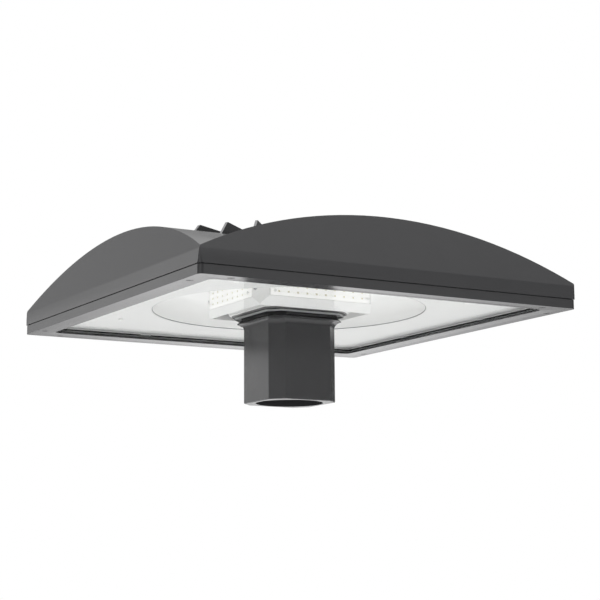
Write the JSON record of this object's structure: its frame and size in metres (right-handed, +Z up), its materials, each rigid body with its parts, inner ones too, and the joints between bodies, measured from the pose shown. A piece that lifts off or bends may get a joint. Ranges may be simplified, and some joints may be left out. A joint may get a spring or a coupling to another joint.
{
  "type": "post-top area light",
  "caption": "Square post-top LED area light with an arched, finned cast housing, a framed glass door below and an octagonal pole fitter.",
  "frame": {"origin": "centre of the pole socket's mouth, at the lower end of the fitter", "axes": "+Z up along the pole and the socket, out of the top of the housing; +X and +Y square to the housing's sides, the set screws being on the fitter's +X and +Y faces"},
  "size_m": [0.622, 0.622, 0.2345],
  "materials": {
    "graphite_coat": "satin graphite powder coat",
    "clear_glass": "clear tempered glass",
    "black_rubber": "matte moulded rubber",
    "plated_sheet": "brushed sheet",
    "screw_steel": "bright steel",
    "white_cast": "satin white paint on a casting",
    "white_sheet": "satin white paint on sheet",
    "white_board": "white board mask",
    "clear_lens": "clear moulded lens",
    "led_yellow": "yellow phosphor",
    "driver_case": "matte light grey case",
    "black_plastic": "matte black case",
    "cream_plastic": "matte cream moulding",
    "green_screw": "green lacquer",
    "lead_white": "insulated lead"
  },
  "bodies": {
    "luminaire": {"top_housing": "graphite_coat", "pole_fitter": "graphite_coat", "hub_gasket": "black_rubber", "led_hub": "white_cast", "led_board_front": "white_board", "led_board_back": "white_board", "led_board_left": "white_board", "led_board_right": "white_board", "led_optic_front": "clear_lens", "led_optic_back": "clear_lens", "led_optic_left": "clear_lens", "led_optic_right": "clear_lens", "led_chips": "led_yellow", "optic_screws": "screw_steel", "corner_reflectors": "white_sheet", "corner_screws": "screw_steel", "skirt_reflector": "white_sheet", "reflector_pan": "white_sheet", "reflector_dish": "white_sheet", "pan_screws": "screw_steel", "dish_screws": "screw_steel", "gear_tray": "plated_sheet", "tray_screws": "screw_steel", "driver_left": "driver_case", "driver_right": "driver_case", "driver_screws": "screw_steel", "surge_protector": "black_plastic", "terminal_block": "cream_plastic", "ground_screw": "green_screw", "fitter_bolts": "screw_steel", "led_leads": "lead_white", "wire_grommet": "black_rubber"},
    "lens_door": {"lens_frame": "graphite_coat", "lens_glass": "clear_glass", "glass_gasket": "black_rubber", "glass_clips": "plated_sheet", "clip_screws": "screw_steel", "frame_screws": "screw_steel", "frame_gasket": "black_rubber"},
    "set_screw_1_body": {"set_screw_1": "screw_steel"},
    "set_screw_2_body": {"set_screw_2": "screw_steel"},
    "set_screw_3_body": {"set_screw_3": "screw_steel"},
    "set_screw_4_body": {"set_screw_4": "screw_steel"}
  },
  "joints": [
    {"name": "lens_door_drop", "type": "slide", "parent": "luminaire", "child": "lens_door", "axis": [0, 0, -1], "range_m": [0, 0.12]},
    {"name": "set_screw_1_travel", "type": "slide", "parent": "luminaire", "child": "set_screw_1_body", "axis": [-1, 0, 0], "range_m": [0, 0.0024]},
    {"name": "set_screw_2_travel", "type": "slide", "parent": "luminaire", "child": "set_screw_2_body", "axis": [-1, 0, 0], "range_m": [0, 0.0024]},
    {"name": "set_screw_3_travel", "type": "slide", "parent": "luminaire", "child": "set_screw_3_body", "axis": [0, -1, 0], "range_m": [0, 0.0024]},
    {"name": "set_screw_4_travel", "type": "slide", "parent": "luminaire", "child": "set_screw_4_body", "axis": [0, -1, 0], "range_m": [0, 0.0024]}
  ]
}
